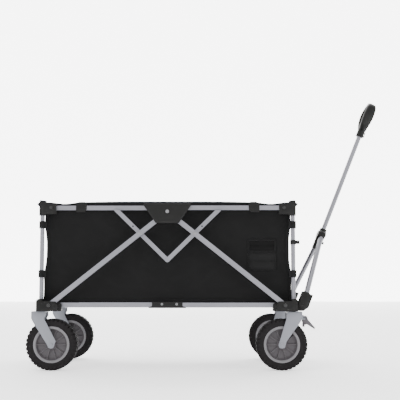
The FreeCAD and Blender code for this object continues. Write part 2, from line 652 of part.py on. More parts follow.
def make_grip():
    """Loop handle: a rounded D with a finger opening, lens-shaped from the side, on a short collar."""
    loop = handle_plate("YZ_Plane", [("-15", "grip_low + 24"), ("15", "grip_low + 24"), ("57", "grip_low + 70"),
                                     ("57", "grip_high - 14"), ("44", "grip_high"), ("-44", "grip_high"),
                                     ("-57", "grip_high - 14"), ("-57", "grip_low + 70")], 60, "8")
    opening = handle_plate("YZ_Plane", [("-14", "grip_low + 52"), ("14", "grip_low + 52"),
                                        ("37", "grip_low + 78"), ("37", "grip_high - 24"),
                                        ("-37", "grip_high - 24"), ("-37", "grip_low + 78")], 80, "8")
    lens = handle_plate("XZ_Plane", [("-12", "grip_low + 20"), ("12", "grip_low + 20"), ("21", "grip_low + 60"),
                                     ("22", "grip_low + 90"), ("18", "grip_low + 125"), ("8", "grip_high"),
                                     ("-8", "grip_high"), ("-18", "grip_low + 125"), ("-22", "grip_low + 90"),
                                     ("-21", "grip_low + 60")], 140, "6")
    loop_form = doc.addObject("Part::MultiCommon", "LoopForm")
    loop_form.Shapes = [loop, lens]
    neck = handle_rod("14", "0", "grip_low", "36")
    fins = [handle_block(("10", "19"), ("-2", "2"), (low, high))
            for low, high in (("grip_low + 4", "grip_low + 11"), ("grip_low + 17", "grip_low + 24"))]
    socket = handle_rod("pole_radius", "0", "grip_low", "pole_top + 2 - grip_low")
    return cut(fuse(cut(loop_form, opening), neck, *fins), socket)


def handle_plate(role, corners, thickness, rounding):
    """A plate in the handle's own frame, padded evenly either side of its middle plane."""
    body = doc.addObject("PartDesign::Body", "HandlePlate")
    pad = body.newObject("PartDesign::Pad", "Pad")
    pad.Profile = new_sketch(body, role, corners)
    pad.SideType = "Symmetric"
    pad.Length = thickness
    place_on_handle(body)
    normal = FreeCAD.Vector(1, 0, 0) if role == "YZ_Plane" else FreeCAD.Vector(0, 1, 0)
    round_edges(body, pad, rounding, normal)
    return body


node(make_collar(), "handle_collar")
node(cross_rod("5", "12.5", "button_along", "8"), "lock_button")
node(make_pole(), "handle_pole")
node(make_grip(), "handle_grip")


# ---------------------------------------------------------------- checks and files

doc.recompute()
faults = [item.Label for item in doc.Objects if {"Invalid", "Error"} & set(item.State)]
for item in nodes:
    if item.Shape.isNull() or not item.Shape.isValid() or item.Shape.Volume <= 0:
        faults.append(item.Label)
if faults:
    raise RuntimeError("failed objects: " + ", ".join(faults))

os.makedirs("parts", exist_ok=True)
whole = FreeCAD.BoundBox()
for item in nodes:
    item.Shape.exportStep(f"parts/{item.Label}.step")
    whole.add(item.Shape.BoundBox)
    print(item.Label, len(item.Shape.Solids), round(item.Shape.Volume / 1000, 1))
print(len(nodes), "sub-parts, box", whole)
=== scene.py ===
import json
import math

import bmesh
import bpy
from mathutils import Matrix, Vector, noise


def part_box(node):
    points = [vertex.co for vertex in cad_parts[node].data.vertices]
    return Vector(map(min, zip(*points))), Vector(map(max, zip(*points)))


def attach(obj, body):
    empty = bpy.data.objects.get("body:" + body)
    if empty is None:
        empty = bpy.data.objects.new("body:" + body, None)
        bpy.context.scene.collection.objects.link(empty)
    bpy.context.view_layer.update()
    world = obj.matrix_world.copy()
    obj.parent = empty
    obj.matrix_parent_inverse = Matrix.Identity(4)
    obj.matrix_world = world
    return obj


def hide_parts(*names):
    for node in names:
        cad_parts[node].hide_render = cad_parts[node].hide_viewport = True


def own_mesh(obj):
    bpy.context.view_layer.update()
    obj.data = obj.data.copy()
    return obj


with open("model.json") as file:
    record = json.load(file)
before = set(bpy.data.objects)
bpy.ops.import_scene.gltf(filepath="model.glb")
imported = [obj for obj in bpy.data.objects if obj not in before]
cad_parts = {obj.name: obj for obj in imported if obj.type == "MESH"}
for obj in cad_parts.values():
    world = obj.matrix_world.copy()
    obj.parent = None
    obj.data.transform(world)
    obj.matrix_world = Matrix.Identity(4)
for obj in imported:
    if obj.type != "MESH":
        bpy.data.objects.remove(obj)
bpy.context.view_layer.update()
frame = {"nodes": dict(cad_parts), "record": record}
nodes = frame["nodes"]


def middle(node):
    low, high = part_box(node)
    return [(low[i] + high[i]) / 2 for i in range(3)]


midX = (middle("rear_posts")[0] + middle("front_posts")[0]) / 2  # half way between the end frames
postX = middle("front_posts")[0] - midX
postY = 0.230
sideY = abs(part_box("right_side_panel")[0][1])  # outer face of the basket's side
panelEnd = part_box("right_side_panel")[1][0] - midX
floorZ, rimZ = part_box("right_side_panel")[0][2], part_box("right_side_panel")[1][2]


# one value in a node tree; expressions on it add Math nodes
class Sock:
    def __init__(self, tree, link):
        self.tree = tree
        self.link = link

    def maths(self, operation, *others):
        node = self.tree.nodes.new("ShaderNodeMath")
        node.operation = operation
        for socket, value in zip(node.inputs, others):
            if isinstance(value, Sock):
                self.tree.links.new(value.link, socket)
            else:
                socket.default_value = value
        return Sock(self.tree, node.outputs[0])

    def __add__(self, other): return self.maths("ADD", self, other)
    def __radd__(self, other): return self.maths("ADD", other, self)
    def __mul__(self, other): return self.maths("MULTIPLY", self, other)
    def __rmul__(self, other): return self.maths("MULTIPLY", other, self)


# a material: one method adds its nodes, short ones name its patterns and what they feed
class Finish:
    def __init__(self, name, **fixed):
        self.material = bpy.data.materials.new(name)
        self.material.use_nodes = True
        self.tree = self.material.node_tree
        self.shader = self.tree.nodes["Principled BSDF"]
        for socket, value in fixed.items():
            self.shader.inputs[socket.replace("_", " ")].default_value = value
        self.place = self.add("ShaderNodeTexCoord").outputs["Object"]

    def add(self, kind, settings=None, **sockets):
        node = self.tree.nodes.new(kind)
        for key, value in (settings or {}).items():
            setattr(node, key, value)
        for key, value in sockets.items():
            self.feed(node.inputs[key.replace("_", " ")], value)
        return node

    def feed(self, socket, value):
        if isinstance(value, Sock):
            self.tree.links.new(value.link, socket)
        elif isinstance(value, bpy.types.NodeSocket):
            self.tree.links.new(value, socket)
        else:
            socket.default_value = value

    def grain(self, scale, detail=2.0):
        cloud = self.add("ShaderNodeTexNoise", Vector=self.place, Scale=scale, Detail=detail)
        return Sock(self.tree, cloud.outputs["Fac"])

    def ridges(self, direction, scale):
        wave = self.add("ShaderNodeTexWave", {"bands_direction": direction}, Vector=self.place, Scale=scale)
        return Sock(self.tree, wave.outputs["Fac"])

    def tint(self, factor, dark, light):
        mix = self.add("ShaderNodeMix", {"data_type": "RGBA"})
        self.feed(mix.inputs["Factor"], factor)
        self.feed(mix.inputs[6], dark)
        self.feed(mix.inputs[7], light)
        self.feed(self.shader.inputs["Base Color"], mix.outputs[2])

    def rough(self, value):
        self.feed(self.shader.inputs["Roughness"], value)

    def relief(self, height, strength, distance):
        bump = self.add("ShaderNodeBump", Height=height, Strength=strength, Distance=distance)
        self.feed(self.shader.inputs["Normal"], bump.outputs[0])


# satin powder coat: fine orange peel, cloudy tone, a few duller patches
def paintFinish(name, dark, light, metal, low, high):
    finish = Finish(name, Metallic=metal, Coat_Weight=0.15, Coat_Roughness=0.3)
    cloud = finish.grain(9.0, 3.0)
    peel = finish.grain(900.0, 1.0)
    finish.tint(cloud, (*dark, 1), (*light, 1))
    finish.rough(low + (high - low) * finish.grain(45.0, 4.0))
    finish.relief(peel, 0.12, 0.0003)
    return finish.material


# plain weave: two crossed sets of threads, with slubs and faded patches
def clothFinish(name, dark, light, pitch, slub):
    finish = Finish(name, Sheen_Weight=0.06, Sheen_Roughness=0.5, Specular_IOR_Level=0.14)
    threads = finish.ridges("X", 0.314 / pitch) * 0.5 + finish.ridges("Z", 0.314 / pitch) * 0.5
    across = finish.ridges("Y", 0.314 / pitch)
    weave = threads * 0.7 + across * 0.3
    patches = finish.grain(7.0, 4.0)
    finish.tint(weave * 0.45 + patches * 0.55, (*dark, 1), (*light, 1))
    finish.rough(0.78 + 0.16 * patches)
    finish.relief(weave + slub * finish.grain(160.0, 2.0), 0.5, 0.0006)
    return finish.material


# moulded plastic with a spark-eroded grain and handled patches
def plasticFinish(name, dark, light, low, high):
    finish = Finish(name, Specular_IOR_Level=0.2)
    finish.tint(finish.grain(14.0, 3.0), (*dark, 1), (*light, 1))
    finish.rough(low + (high - low) * finish.grain(60.0, 3.0))
    finish.relief(finish.grain(1400.0, 2.0), 0.25, 0.0003)
    return finish.material


# tyre rubber with dusty patches
def rubberFinish():
    finish = Finish("tyreRubber", Specular_IOR_Level=0.14)
    dust = finish.grain(30.0, 5.0)
    finish.tint(dust * 0.8, (0.0045, 0.0040, 0.0043, 1), (0.0170, 0.0152, 0.0160, 1))
    finish.rough(0.7 + 0.22 * dust)
    finish.relief(finish.grain(700.0, 3.0), 0.35, 0.0004)
    return finish.material


# zinc-plated bolt steel, a little uneven in tone and shine
def steelFinish(name, dark, light):
    finish = Finish(name, Metallic=0.95)
    finish.tint(finish.grain(80.0, 2.0), (*dark, 1), (*light, 1))
    finish.rough(0.25 + 0.2 * finish.grain(300.0, 2.0))
    finish.relief(finish.grain(1200.0, 1.0), 0.1, 0.0002)
    return finish.material


# open net of the pocket: a lighter lattice over the dark cloth behind
def meshFinish():
    finish = Finish("pocketNet", Sheen_Weight=0.05, Specular_IOR_Level=0.15)
    lattice = finish.ridges("X", 120.0) * finish.ridges("Z", 120.0)
    finish.tint(lattice, (0.0008, 0.0008, 0.0008, 1), (0.0055, 0.0055, 0.0057, 1))
    finish.rough(0.8 + 0.1 * lattice)
    finish.relief(lattice, 0.8, 0.001)
    return finish.material


finishes = {
    "silver_tube": paintFinish("silverTube", (0.165, 0.165, 0.187), (0.222, 0.222, 0.246), 0.45, 0.3, 0.42),
    "fork_steel": paintFinish("forkSteel", (0.148, 0.154, 0.175), (0.200, 0.207, 0.232), 0.25, 0.32, 0.48),
    "zinc_fastener": steelFinish("zincSteel", (0.16, 0.16, 0.17), (0.30, 0.30, 0.31)),
    "bright_bolt": steelFinish("brightBolt", (0.42, 0.42, 0.43), (0.68, 0.68, 0.69)),
    "black_bolt": paintFinish("blackBolt", (0.003, 0.003, 0.0033), (0.009, 0.009, 0.0095), 0.2, 0.35, 0.5),
    "black_fabric": clothFinish("blackFabric", (0.0020, 0.0020, 0.0021), (0.0075, 0.0075, 0.0077),
                                0.0011, 0.4),
    "pouch_fabric": clothFinish("pouchFabric", (0.0035, 0.0035, 0.0036), (0.0125, 0.0125, 0.0128),
                                0.0011, 0.4),
    "floor_board": clothFinish("boardCover", (0.003, 0.003, 0.0032), (0.011, 0.011, 0.0115), 0.0014, 0.3),
    "black_plastic": plasticFinish("blackPlastic", (0.0020, 0.0020, 0.0019), (0.0065, 0.0064, 0.0060),
                                   0.36, 0.55),
    "grey_plastic": plasticFinish("greyPlastic", (0.060, 0.055, 0.060), (0.092, 0.085, 0.091), 0.4, 0.55),
    # painted light: a paler copy of the rim plastic for the rim's lit outer ring
    "rim_ring": plasticFinish("rimRing", (0.115, 0.111, 0.118), (0.160, 0.156, 0.163), 0.36, 0.5),
    "tyre_rubber": rubberFinish(),
    "binding": clothFinish("bindingTape", (0.0025, 0.0025, 0.0026), (0.009, 0.009, 0.0094), 0.0018, 0.2),
    "net": meshFinish(),
}
print("finishes made", len(finishes))


def slotOf(node):
    return {entry["node"]: entry["material_slot"] for entry in frame["record"]["subparts"]}[node]


for name, item in nodes.items():
    item.data.materials.clear()
    item.data.materials.append(finishes[slotOf(name)])


# turn a bmesh into a finished object in the row frame
def piece(name, bm, finish, body, replaces=()):
    mesh = bpy.data.meshes.new(name)
    bm.to_mesh(mesh)
    bm.free()
    item = bpy.data.objects.new(name, mesh)
    bpy.context.collection.objects.link(item)
    mesh.materials.append(finishes[finish])
    mesh.shade_smooth()
    mesh.set_sharp_from_angle(angle=math.radians(38))
    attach(item, body)
    if replaces:
        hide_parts(*replaces)
    return item


def bevelAll(bm, offset, segments=2, sharp=30):
    edges = [edge for edge in bm.edges if edge.is_manifold and edge.calc_face_angle(0) > math.radians(sharp)]
    bmesh.ops.bevel(bm, geom=edges, offset=offset, offset_type="OFFSET", segments=segments, profile=0.5,
                    affect="EDGES", material=-1, clamp_overlap=True)


def flipOut(bm):
    bmesh.ops.remove_doubles(bm, verts=bm.verts, dist=1e-6)
    bmesh.ops.recalc_face_normals(bm, faces=bm.faces)


# the other side of the wagon
def mirrorY(bm):
    bmesh.ops.scale(bm, vec=(1, -1, 1), verts=bm.verts)
    bmesh.ops.reverse_faces(bm, faces=bm.faces)


# extrude an outline in the XZ plane between two distances along Y
def addSlab(bm, corners, inner, outer):
    verts = [bm.verts.new((x, inner, z)) for x, z in corners]
    face = bm.faces.new(verts)
    grown = bmesh.ops.extrude_face_region(bm, geom=[face])
    bmesh.ops.translate(bm, vec=(0, outer - inner, 0),
                        verts=[item for item in grown["geom"] if isinstance(item, bmesh.types.BMVert)])


def addRod(bm, centre, radius, length, axis, segments=32):
    turn = Vector((0, 0, 1)).rotation_difference(Vector(axis)).to_matrix().to_4x4()
    bmesh.ops.create_cone(bm, cap_ends=True, segments=segments, radius1=radius, radius2=radius, depth=length,
                          matrix=Matrix.Translation(centre) @ turn)


# full turn of a closed profile, radius and distance along Y, about a wheel's axle
def spun(profile, segments, centre):
    bm = bmesh.new()
    verts = [bm.verts.new((radius, along, 0)) for radius, along in profile]
    edges = [bm.edges.new((verts[i], verts[(i + 1) % len(verts)])) for i in range(len(verts))]
    bmesh.ops.spin(bm, geom=verts + edges, cent=(0, 0, 0), axis=(0, 1, 0), angle=math.tau, steps=segments,
                   use_merge=True, use_duplicate=False)
    flipOut(bm)
    bmesh.ops.translate(bm, vec=centre, verts=bm.verts)
    return bm


camera = {"across": 0.122, "back": 3.43, "height": 0.341, "lens": 76.5, "pitch": 5.24}
studio = {"paper": 14, "wallY": 9, "floorGlow": 0.9, "wallGlow": 5, "sky": 1.5, "aim": (0, 0, 0.4)}
# place, power and width of each lamp
lamps = {"key": ((-1.6, -2.2, 3.0), 34, 2.2), "fill": ((2.4, -2.4, 1.8), 16, 2.0),
         "top": ((0, 0.6, 3.4), 40, 2.6)}


def makeStage():
    bpy.ops.object.camera_add(location=(midX + camera["across"], -camera["back"], camera["height"]),
                              rotation=(math.radians(90 + camera["pitch"]), 0, 0))
    bpy.context.scene.camera = bpy.context.object
    bpy.context.object.data.lens = camera["lens"]
    sheets = (("floor", 0, (0, 0, 0), studio["floorGlow"]),
              ("wall", 90, (0, studio["wallY"], 0), studio["wallGlow"]))
    for name, tilt, place, glow in sheets:
        bm = bmesh.new()
        bmesh.ops.create_grid(bm, x_segments=1, y_segments=1, size=studio["paper"],
                              matrix=Matrix.Translation(place) @ Matrix.Rotation(math.radians(tilt), 4, "X"))
        mesh = bpy.data.meshes.new(name)
        bm.to_mesh(mesh)
        bm.free()
        item = bpy.data.objects.new(name, mesh)
        bpy.context.collection.objects.link(item)
        paper = Finish(name + "Paper", Roughness=0.9, Specular_IOR_Level=0.1, Emission_Color=(1, 1, 1, 1),
                       Emission_Strength=glow)
        paper.tint(paper.grain(2.0), (0.86, 0.86, 0.86, 1), (0.9, 0.9, 0.9, 1))
        mesh.materials.append(paper.material)
    world = bpy.data.worlds.new("studio")
    bpy.context.scene.world = world
    world.use_nodes = True
    sky = world.node_tree.nodes["Background"]
    sky.inputs["Color"].default_value = (1, 1, 1, 1)
    sky.inputs["Strength"].default_value = studio["sky"]
    for name, (place, power, size) in lamps.items():
        bpy.ops.object.light_add(type="AREA", location=place)
        lamp = bpy.context.object
        lamp.name = name
        lamp.data.energy = power
        lamp.data.size = size
        lamp.rotation_euler = (Vector(studio["aim"]) - Vector(place)).to_track_quat("-Z", "Y").to_euler()


makeStage()
print("stage ready")


tyre = {"radius": 0.095, "half": 0.025, "seat": 0.0665, "groove": 0.004, "lugs": 36, "sink": 0.002,
        "fill": 0.74, "taper": 0.86, "narrow": 0.9, "skew": 0.0012, "gap": 0.0075, "rib": 0.0055,
        "edge": 0.0035}
shoulder = {"deep": 0.011, "thick": 0.0022, "fill": 0.5, "in": 0.0112}
rim = {"radius": 0.0672, "half": 0.021, "dish": 0.010, "hub": 0.017, "bore": 0.0052, "ribs": 10,
       "well": 0.010, "lip": 0.0015, "ribTall": 0.010, "ribThick": 0.0045, "ringFrom": 0.0098}


# tread in three rows of blocks, the middle row half a step on from the outer two
def makeTyre(name, node, body):
    centre = middle(node)
    radius, half, seat = tyre["radius"], tyre["half"], tyre["seat"]
    base = radius - tyre["groove"]
    tall = tyre["groove"] + tyre["sink"]
    wall = [(seat, 0.005), (seat + 0.004, 0.001), (radius - 0.016, 0.0002), (base - 0.004, 0.002),
            (base, 0.008)]  # radius, and distance in from the tyre's side
    profile = [(reach, -half + inset) for reach, inset in wall]
    profile += [(reach, half - inset) for reach, inset in reversed(wall)]
    bm = spun(profile, 96, centre)
    step = math.tau / tyre["lugs"]
    rows = ((-half + tyre["edge"], -tyre["gap"], 1), (-tyre["rib"], tyre["rib"], 0),
            (tyre["gap"], half - tyre["edge"], -1))
    for index in range(tyre["lugs"]):
        for row, (start, end, lean) in enumerate(rows):
            turn = step * (index + 0.5 * (row % 2))
            lug = bmesh.ops.create_cube(bm, size=1)["verts"]
            bmesh.ops.scale(bm, vec=(tall, end - start, radius * step * tyre["fill"]), verts=lug)
            for vert in lug:
                if vert.co.x > 0:
                    vert.co.z *= tyre["taper"]
                    vert.co.y *= tyre["narrow"]
                vert.co.z += tyre["skew"] * lean * (1 if vert.co.y > 0 else -1)
            bmesh.ops.translate(bm, vec=(radius - tall / 2 - 0.0002, (start + end) / 2, 0), verts=lug)
            bmesh.ops.rotate(bm, cent=(0, 0, 0), matrix=Matrix.Rotation(turn, 3, "Y"), verts=lug)
            bmesh.ops.translate(bm, vec=centre, verts=lug)
        for side in (-1, 1):  # shoulder blocks that show on the sidewall
            place = (radius - shoulder["in"], side * (half - shoulder["thick"] / 2), 0)
            block = bmesh.ops.create_cube(bm, size=1)["verts"]
            bmesh.ops.scale(bm, vec=(shoulder["deep"], shoulder["thick"], radius * step * shoulder["fill"]),
                            verts=block)
            bmesh.ops.translate(bm, vec=place, verts=block)
            bmesh.ops.rotate(bm, cent=(0, 0, 0), matrix=Matrix.Rotation(step * index, 3, "Y"), verts=block)
            bmesh.ops.translate(bm, vec=centre, verts=block)
    piece(name, bm, "tyre_rubber", body, [node])


# dished rim with a hub, ribs on both faces and a paler outer ring: painted light, with the outer ring lit and
# the recessed dish left darker as painted shade
def makeRim(name, node, body):
    centre = middle(node)
    radius, half, dish, hub, bore = rim["radius"], rim["half"], rim["dish"], rim["hub"], rim["bore"]
    well = radius - rim["well"]
    disc = [(bore, -half - 0.002), (hub - 0.003, -half - 0.002), (hub, -half + 0.002), (hub + 0.001, -dish),
            (well - 0.003, -dish + 0.003), (well, -half + 0.001), (well + 0.002, -half - rim["lip"]),
            (radius, -half - rim["lip"])]
    bm = spun(disc + [(reach, -along) for reach, along in reversed(disc)], 80, centre)
    for index in range(rim["ribs"]):
        for face in (-1, 1):
            rib = bmesh.ops.create_cube(bm, size=1)["verts"]
            bmesh.ops.scale(bm, vec=(well - hub + 0.004, rim["ribTall"], rim["ribThick"]), verts=rib)
            for vert in rib:
                if vert.co.y * face > 0:
                    vert.co.z *= 0.6
                    if vert.co.x > 0:
                        vert.co.y -= face * 0.002
            bmesh.ops.translate(bm, vec=((well + hub) / 2, face * (dish + 0.003), 0), verts=rib)
            turn = Matrix.Rotation(math.tau * index / rim["ribs"], 3, "Y")
            bmesh.ops.rotate(bm, cent=(0, 0, 0), matrix=turn, verts=rib)
            bmesh.ops.translate(bm, vec=centre, verts=rib)
    item = piece(name, bm, "grey_plastic", body, [node])
    # painted light: faces on the outer ring take the paler copy, and the recessed dish keeps the darker
    # plastic as painted shade
    item.data.materials.append(finishes["rim_ring"])
    for face in item.data.polygons:
        if math.hypot(face.center.x - centre[0], face.center.z - centre[2]) > radius - rim["ringFrom"]:
            face.material_index = 1


for end in ("rear", "front"):
    for side in ("right", "left"):
        body = f"{end}_{side}_wheel"
        makeTyre(f"{end}{side.title()}Tyre", f"{end}_{side}_tyre", body)
        makeRim(f"{end}{side.title()}Rim", f"{end}_{side}_rim", body)
print("wheels made")


fork = {"cheek": 0.0028, "half": 0.0305, "waist": 0.192, "plate": 0.0045}
rearFork = {"low": -0.503, "high": -0.449, "top": 0.218}
frontFork = {"low": 0.443, "high": 0.501, "top": 0.216}
pedalLugs = {"sides": (-0.022, 0.0185), "size": (0.014, 0.0035, 0.015), "x": 0.505, "z": 0.1945}
pedalWeb = {"size": (0.003, 0.058, 0.020), "at": (0.4995, 0, 0.205)}
axleZ = tyre["radius"]


def addBox(bm, size, centre):
    verts = bmesh.ops.create_cube(bm, size=1)["verts"]
    bmesh.ops.scale(bm, vec=size, verts=verts)
    bmesh.ops.translate(bm, vec=centre, verts=verts)


# one pressed fork: two cheeks with rolled edges and a plate over the wheel
def makeFork(axleX, place, frontSide):
    bm = bmesh.new()
    low, high, top, waist = place["low"], place["high"], place["top"], fork["waist"]
    outline = [(axleX - 0.0135, axleZ - 0.001), (axleX - 0.0095, axleZ - 0.0105), (axleX, axleZ - 0.0138),
               (axleX + 0.0095, axleZ - 0.0105), (axleX + 0.0138, axleZ + 0.003),
               (axleX + 0.0175, axleZ + 0.014)]
    if frontSide:
        outline += [(high - 0.012, waist - 0.02), (high, waist), (high, top - 0.002), (low, top - 0.002),
                    (low, waist + 0.002)]
    else:
        outline += [(high - 0.006, waist), (high, waist + 0.008), (high, top - 0.002), (low, top - 0.002),
                    (low, waist), (low + 0.006, waist - 0.012)]
    for side in (-1, 1):
        addSlab(bm, outline, side * (fork["half"] - fork["cheek"]), side * fork["half"])
    flipOut(bm)
    addBox(bm, (high - low, 2 * fork["half"], fork["plate"]),
           ((high + low) / 2, 0, top - fork["plate"] / 2 - 0.0001))
    bevelAll(bm, 0.0011, 3, 50)
    return bm


def placeFork(name, bm, sign, body, replaced):
    bmesh.ops.translate(bm, vec=(midX, sign * postY, 0), verts=bm.verts)
    piece(name, bm, "fork_steel", body, replaced)


rearAxleX = middle("rear_right_rim")[0] - midX
frontAxleX = middle("front_right_rim")[0] - midX
for sign, side in ((-1, "right"), (1, "left")):
    rear = makeFork(rearAxleX, rearFork, False)
    placeFork(f"rear{side.title()}Fork", rear, sign, "rear_frame", ["rear_forks"])
    front = makeFork(frontAxleX, frontFork, True)
    for low in pedalLugs["sides"]:
        addBox(front, pedalLugs["size"], (pedalLugs["x"], low + pedalLugs["size"][1] / 2, pedalLugs["z"]))
    addBox(front, pedalWeb["size"], pedalWeb["at"])
    placeFork(f"front{side.title()}Fork", front, sign, f"{side}_caster", [f"front_{side}_fork"])
print("forks made")


stitch = {"pitch": 0.0042, "length": 0.0026, "thick": 0.0007}
basket = {"strapHeights": (0.3565, 0.5405), "reach": 0.005, "pull": (0.002, 0.011, 0.003), "rise": 0.005,
          "dip": 0.006, "bulge": 0.0042, "thick": 0.0022, "hem": 0.022, "hemThick": 0.0016, "tape": 0.008,
          "seam": 0.010, "pleat": 0.0016, "level": 0.72, "keep": 0.334}
hemRows = (-0.0074, 0.0074)  # stitch rows above and below the hem's middle
clothEnd = panelEnd + basket["reach"]  # where the cloth ends at the posts


# how far a corner edge is drawn in between the points that hold it
def edgePull(height):
    held = (floorZ, *basket["strapHeights"], rimZ)
    for low, high, pull in zip(held, held[1:], basket["pull"]):
        if low <= height <= high:
            return pull * math.sin(math.pi * (height - low) / (high - low)) ** 0.8
    return 0.0


# the rim stands highest over the middle and dips once before each end
def rimHeight(x):
    share = min(1.0, abs(x) / panelEnd)
    level = basket["level"]
    if share < level:
        return rimZ + basket["rise"] * (1 - (share / level) ** 4 * 0.6)
    dip = math.sin(math.pi * (share - level) / (1 - level)) ** 2
    return rimZ + basket["rise"] * 0.4 - basket["dip"] * dip


# a taut cloth wall in the XZ plane, its face bulging towards -Y, its ends drawn in between the straps
def makeWall(width, seed, columns, rows, topLine):
    bm = bmesh.new()
    bmesh.ops.create_grid(bm, x_segments=columns, y_segments=rows, size=0.5)
    for vert in bm.verts:
        across, up = vert.co.x * 2, vert.co.y + 0.5
        top = topLine(across * width)
        height = floorZ + up * (top - floorZ)
        pulled = edgePull(min(height, rimZ)) * abs(across) ** 6
        x = across * (width - pulled)
        wave = noise.noise(Vector((x * 5 + seed, height * 7, seed))) * 0.6
        crease = noise.noise(Vector((x * 13 + seed, height * 19 - abs(x) * 11, seed + 4))) * 0.3
        hold = (1 - abs(across) ** 5) * math.sin(math.pi * min(1, max(0, up))) ** 0.6
        belly = hold * (0.45 + 0.55 * wave + crease)
        inward = (1 - abs(across)) * width
        fold = 0
        for held in basket["strapHeights"]:  # short pleats running in from each strap
            near = math.exp(-((height - held) / 0.012) ** 2) * math.exp(-(inward / 0.05) ** 2)
            fold += near * basket["pleat"] * math.cos((height - held) * 900)
        vert.co = (x, -(basket["bulge"] * belly + fold), height)
    return bm


# half of a hem's section, from its edge past the stitch groove: shares of its width and thickness
hemHalf = [(-0.5, 0.0), (-0.46, 0.8), (-0.36, 1.0), (-0.31, 0.72), (-0.26, 1.0)]


# a folded band sewn along a path, flat against the wall, with two rows of stitch grooves
def makeHem(points, width, thick, outward):
    bm = bmesh.new()
    section = hemHalf + [(-across, up) for across, up in reversed(hemHalf)]
    rings = []
    for index, point in enumerate(points):
        before, after = points[max(0, index - 1)], points[min(len(points) - 1, index + 1)]
        along = (Vector(after) - Vector(before)).normalized()
        side = along.cross(Vector(outward)).normalized()
        ring = [bm.verts.new(Vector(point) + side * (across * width) + Vector(outward) * (up * thick))
                for across, up in section]
        rings.append([bm.edges.new((ring[i], ring[(i + 1) % len(ring)])) for i in range(len(ring))])
    for first, second in zip(rings, rings[1:]):
        bmesh.ops.bridge_loops(bm, edges=first + second)
    bmesh.ops.holes_fill(bm, edges=bm.edges, sides=20)
    bmesh.ops.recalc_face_normals(bm, faces=bm.faces)
    return bm


# raised stitches along a path
def stitchRow(bm, points, outward):
    for start, end in zip(points, points[1:]):
        step = Vector(end) - Vector(start)
        count = max(1, int(step.length / stitch["pitch"]))
        turn = Vector((1, 0, 0)).rotation_difference(step).to_matrix()
        for index in range(count):
            loop = bmesh.ops.create_cube(bm, size=1)["verts"]
            bmesh.ops.scale(bm, vec=(stitch["length"], stitch["thick"], stitch["thick"]), verts=loop)
            bmesh.ops.rotate(bm, cent=(0, 0, 0), matrix=turn, verts=loop)
            spot = Vector(start) + step * ((index + 0.5) / count) + Vector(outward) * stitch["thick"] * 0.3
            bmesh.ops.translate(bm, vec=spot, verts=loop)


def shifted(points, across, up, outward):
    return [(x + across, y + outward, z + up) for x, y, z in points]


# gives a piece of the side cloth a mesh of its own
def squashSide(item):
    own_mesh(item)


for sign, side in ((-1, "right"), (1, "left")):
    wall = makeWall(clothEnd, 3.0 + sign, 130, 56, rimHeight)
    bmesh.ops.translate(wall, vec=(midX, -sideY + 0.0005, 0), verts=wall.verts)
    bmesh.ops.solidify(wall, geom=wall.faces, thickness=basket["thick"])
    bmesh.ops.recalc_face_normals(wall, faces=wall.faces)
    if sign > 0:
        mirrorY(wall)
    panel = piece(f"{side}SidePanel", wall, "black_fabric", "rear_frame", [f"{side}_side_panel"])
    squashSide(panel)
    rimLine = [(midX + clothEnd * 0.985 * t / 30, -sideY - 0.0012, rimHeight(clothEnd * t / 30) - 0.010)
               for t in range(-30, 31)]
    hem = makeHem(rimLine, basket["hem"], basket["hemThick"], (0, -1, 0))
    for row in hemRows:
        stitchRow(hem, shifted(rimLine, 0, row, -0.0012), (0, -1, 0))
    if sign > 0:
        mirrorY(hem)
    squashSide(piece(f"{side}RimHem", hem, "binding", "rear_frame"))
    lowLine = [(midX + clothEnd * 0.97 * t / 10, -sideY - 0.0012, floorZ + 0.006) for t in range(-10, 11)]
    base = makeHem(lowLine, basket["seam"], 0.0014, (0, -1, 0))
    if sign > 0:
        mirrorY(base)
    squashSide(piece(f"{side}BaseSeam", base, "binding", "rear_frame"))
    for end in (-1, 1):  # bound corner edges
        edge = []
        for t in range(0, 31):
            height = floorZ + 0.004 + (rimZ - floorZ - 0.012) * t / 30
            edge.append((midX + end * (clothEnd - edgePull(height) - 0.003), -sideY - 0.0010, height))
        tape = makeHem(edge, basket["tape"], basket["hemThick"], (0, -1, 0))
        if sign > 0:
            mirrorY(tape)
        squashSide(piece(f"{side}{'Front' if end > 0 else 'Rear'}EdgeTape", tape, "binding", "rear_frame"))

for end, name in ((-1, "rear"), (1, "front")):
    half = sideY - 0.004
    wall = makeWall(half, 9.0 + end, 64, 56, lambda x: rimZ - 0.001)
    bmesh.ops.solidify(wall, geom=wall.faces, thickness=basket["thick"])
    bmesh.ops.rotate(wall, cent=(0, 0, 0), matrix=Matrix.Rotation(math.radians(90 * end), 3, "Z"),
                     verts=wall.verts)
    bmesh.ops.translate(wall, vec=(midX + end * (panelEnd - 0.0015), 0, 0), verts=wall.verts)
    bmesh.ops.recalc_face_normals(wall, faces=wall.faces)
    panel = piece(f"{name}EndPanel", wall, "black_fabric", f"{name}_frame", [f"{name}_panel"])
    line = [(midX + end * (panelEnd + 0.0004), half * 0.97 * t / 10, rimZ - 0.012) for t in range(-10, 11)]
    piece(f"{name}EndHem", makeHem(line, basket["hem"], 0.0014, (end, 0, 0)), "binding", f"{name}_frame")


board = {"thick": 0.007, "edge": 0.0028, "cuts": 28, "crown": 0.0034, "channel": 0.0026,
         "seams": (-0.07, 0.07)}


